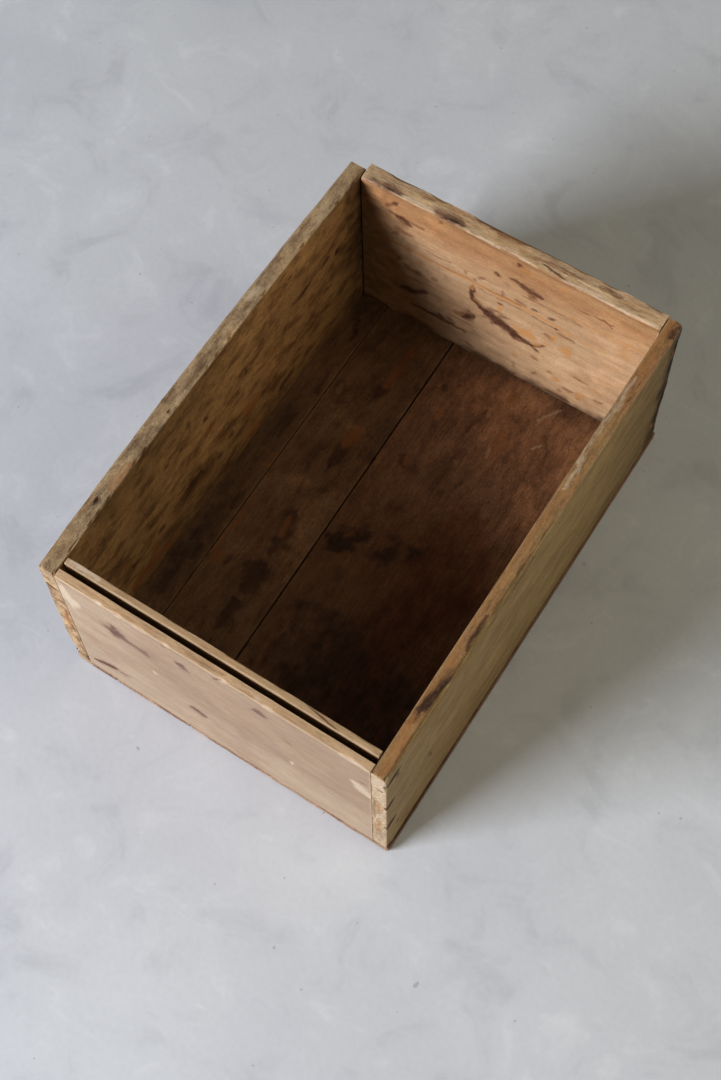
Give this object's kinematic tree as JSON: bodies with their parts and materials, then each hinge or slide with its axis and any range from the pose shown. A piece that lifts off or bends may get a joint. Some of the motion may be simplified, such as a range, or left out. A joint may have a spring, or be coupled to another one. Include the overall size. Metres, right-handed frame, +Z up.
{
  "type": "wooden apple crate",
  "caption": "Open-topped nailed softwood apple crate with a boarded floor, one thick end and a double near end that leaves a narrow open slot.",
  "frame": {"origin": "middle of the crate's bounding box at ground level, under the floor boards", "axes": "+Y along the crate's length from the double near end to the thick far end, +X across it to the side board that stays straight, +Z up"},
  "size_m": [0.3555, 0.5035, 0.215],
  "materials": {
    "wall_pine": "bare weathered softwood, matt",
    "near_end_pine": "bare pale softwood, matt",
    "floor_pine": "bare dark stained softwood, matt",
    "nail_iron": "rusted wire nails"
  },
  "bodies": {
    "root": {"left_side_board": "wall_pine", "right_side_board": "wall_pine", "far_end_board": "wall_pine", "near_end_board": "near_end_pine", "near_inner_board": "near_end_pine", "floor_board_1": "floor_pine", "floor_board_2": "floor_pine", "floor_board_3": "floor_pine", "nail_near_left_1": "nail_iron", "nail_near_left_2": "nail_iron", "nail_near_left_3": "nail_iron", "nail_near_left_4": "nail_iron", "nail_near_right_1": "nail_iron", "nail_near_right_2": "nail_iron", "nail_near_right_3": "nail_iron", "nail_near_right_4": "nail_iron", "nail_inner_left_1": "nail_iron", "nail_inner_left_2": "nail_iron", "nail_inner_right_1": "nail_iron", "nail_inner_right_2": "nail_iron", "nail_far_left_1": "nail_iron", "nail_far_left_2": "nail_iron", "nail_far_left_3": "nail_iron", "nail_far_left_4": "nail_iron", "nail_far_right_1": "nail_iron", "nail_far_right_2": "nail_iron", "nail_far_right_3": "nail_iron", "nail_far_right_4": "nail_iron", "nail_floor_left_1": "nail_iron", "nail_floor_left_2": "nail_iron", "nail_floor_left_3": "nail_iron", "nail_floor_left_4": "nail_iron", "nail_floor_left_5": "nail_iron", "nail_floor_right_1": "nail_iron", "nail_floor_right_2": "nail_iron", "nail_floor_right_3": "nail_iron", "nail_floor_right_4": "nail_iron", "nail_floor_right_5": "nail_iron", "nail_floor_near_1": "nail_iron", "nail_floor_near_2": "nail_iron", "nail_floor_near_3": "nail_iron", "nail_floor_near_4": "nail_iron", "nail_floor_near_5": "nail_iron", "nail_floor_far_1": "nail_iron", "nail_floor_far_2": "nail_iron", "nail_floor_far_3": "nail_iron", "nail_floor_far_4": "nail_iron", "nail_floor_far_5": "nail_iron"}
  },
  "joints": []
}
